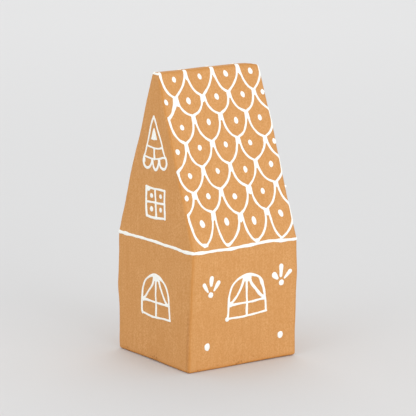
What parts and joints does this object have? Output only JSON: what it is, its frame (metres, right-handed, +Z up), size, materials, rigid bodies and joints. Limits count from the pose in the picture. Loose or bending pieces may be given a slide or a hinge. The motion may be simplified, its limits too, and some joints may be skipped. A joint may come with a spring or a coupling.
{
  "type": "gingerbread house",
  "caption": "Tall steep-roofed gingerbread house, one solid block with piped white scales, windows and eave line. It stands on its flat base as a festive decoration.",
  "frame": {"origin": "middle of the footprint, on the surface that the house stands on", "axes": "+Z up; the gables face -Y and +Y and the ridge runs along Y; -Y is the front gable"},
  "size_m": [0.087, 0.0861, 0.1931],
  "materials": {
    "gingerbread": "matte",
    "white_icing": "satin"
  },
  "bodies": {
    "root": {"house_block": "gingerbread", "eave_line": "white_icing", "roof_scales_east": "white_icing", "roof_scales_west": "white_icing", "spire_front": "white_icing", "spire_back": "white_icing", "square_window_front": "white_icing", "square_window_back": "white_icing", "arched_window_front": "white_icing", "arched_window_back": "white_icing", "arched_window_east": "white_icing", "arched_window_west": "white_icing"}
  },
  "joints": []
}
